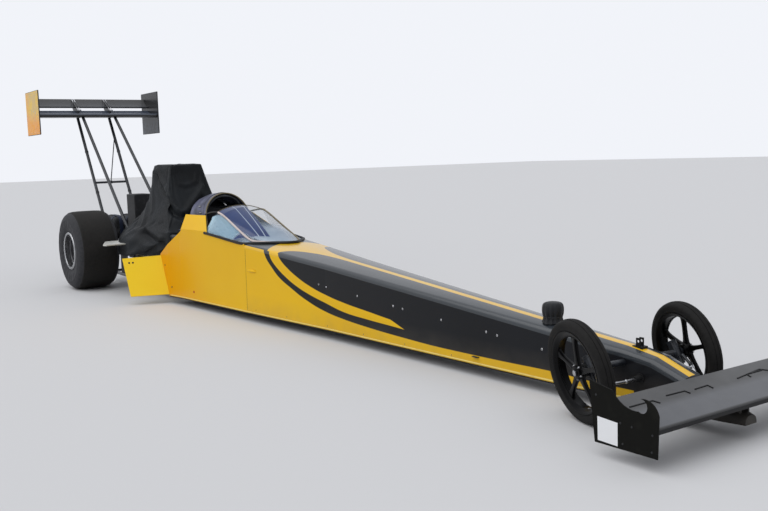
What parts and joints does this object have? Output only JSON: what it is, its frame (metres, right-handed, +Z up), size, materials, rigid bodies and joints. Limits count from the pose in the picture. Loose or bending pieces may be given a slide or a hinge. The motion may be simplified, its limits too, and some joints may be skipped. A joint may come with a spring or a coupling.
{
  "type": "drag racing car",
  "caption": "Long, low single-seat drag racing car with a high rear wing, an engine behind the driver under a fabric cover, and steered front wheels.",
  "frame": {"origin": "on the ground, under the middle of the outline", "axes": "+X towards the nose, +Y to the left of the car, +Z up"},
  "size_m": [10.24, 1.8098, 2.412],
  "materials": {
    "yellow_paint": "gloss",
    "black_paint": "gloss",
    "frame_paint": "satin",
    "tyre": "matte",
    "wheel_black": "satin",
    "wheel_metal": "polished",
    "screen": "clear",
    "black_fabric": "woven",
    "engine_metal": "machined",
    "axle_case": "satin",
    "bright_steel": "brushed",
    "sheet_aluminium": "plain",
    "boot_rubber": "matte"
  },
  "bodies": {
    "chassis": {"belly_pan": "black_paint", "breather_tank": "axle_case", "chassis_frame": "frame_paint", "chute_tray": "frame_paint", "cockpit_cowl": "yellow_paint", "cockpit_shroud": "black_paint", "dash_panel": "sheet_aluminium", "driver_seat": "sheet_aluminium", "engine_block": "engine_metal", "engine_cover": "black_fabric", "engine_side_plates": "sheet_aluminium", "firewall": "black_paint", "front_axle": "bright_steel", "front_wing": "black_paint", "front_wing_plates": "black_paint", "front_wing_posts": "frame_paint", "fuel_filler": "black_fabric", "hood": "black_paint", "left_cockpit_side": "yellow_paint", "left_nose_side": "black_paint", "nose_cap": "black_paint", "parachute_packs": "black_fabric", "rack_boots": "boot_rubber", "rear_axle_housing": "axle_case", "rear_brake_calipers": "sheet_aluminium", "rear_deflectors": "yellow_paint", "rear_wing_flap": "black_paint", "rear_wing_main": "black_paint", "rear_wing_plates": "yellow_paint", "rear_wing_supports": "frame_paint", "right_cockpit_side": "yellow_paint", "right_nose_side": "black_paint", "roll_cage": "frame_paint", "steering_column": "bright_steel", "tow_bracket": "frame_paint", "windshield": "screen"},
    "rear_wheels": {"rear_axle_shaft": "bright_steel", "rear_brake_discs": "bright_steel", "rear_rims": "wheel_metal", "rear_tyres": "tyre"},
    "left_spindle": {"left_knuckle": "bright_steel"},
    "right_spindle": {"right_knuckle": "bright_steel"},
    "left_front_wheel": {"left_front_rim": "wheel_black", "left_front_tyre": "tyre"},
    "right_front_wheel": {"right_front_rim": "wheel_black", "right_front_tyre": "tyre"},
    "rack": {"steering_rack": "bright_steel"},
    "hand_wheel": {"steering_wheel": "boot_rubber"}
  },
  "joints": [
    {"name": "rear_axle_turn", "type": "hinge", "parent": "chassis", "child": "rear_wheels", "pos_m": [-3.264, 0, 0.457], "axis": [0, 1, 0], "continuous": true},
    {"name": "left_kingpin", "type": "hinge", "parent": "chassis", "child": "left_spindle", "pos_m": [4.356, 0.362, 0.274], "axis": [-0.5, 0, 0.866], "range_deg": [-2, 38]},
    {"name": "right_kingpin", "type": "hinge", "parent": "chassis", "child": "right_spindle", "pos_m": [4.356, -0.362, 0.29193], "axis": [-0.5, 0, 0.866], "range_deg": [-2.1, 38.1]},
    {"name": "left_wheel_turn", "type": "hinge", "parent": "left_spindle", "child": "left_front_wheel", "pos_m": [4.37152, 0.41716, 0.28296], "axis": [0.2676, 0.9511, 0.1545], "continuous": true},
    {"name": "right_wheel_turn", "type": "hinge", "parent": "right_spindle", "child": "right_front_wheel", "pos_m": [4.34048, -0.41716, 0.28296], "axis": [0.2676, 0.9511, 0.1545], "continuous": true},
    {"name": "rack_slide", "type": "slide", "parent": "chassis", "child": "rack", "axis": [0, 1, 0], "range_m": [-0.0026, 0.04577]},
    {"name": "hand_wheel_turn", "type": "hinge", "parent": "chassis", "child": "hand_wheel", "pos_m": [-0.314, 0, 0.706], "axis": [-0.96, 0, 0.28], "range_deg": [-8.4, 152.4]}
  ],
  "couplings": [
    {"joint": "right_kingpin", "follows": "left_kingpin", "ratio": 1},
    {"joint": "rack_slide", "follows": "left_kingpin", "m_per_rad": 0.06871},
    {"joint": "hand_wheel_turn", "follows": "left_kingpin", "ratio": 4}
  ]
}
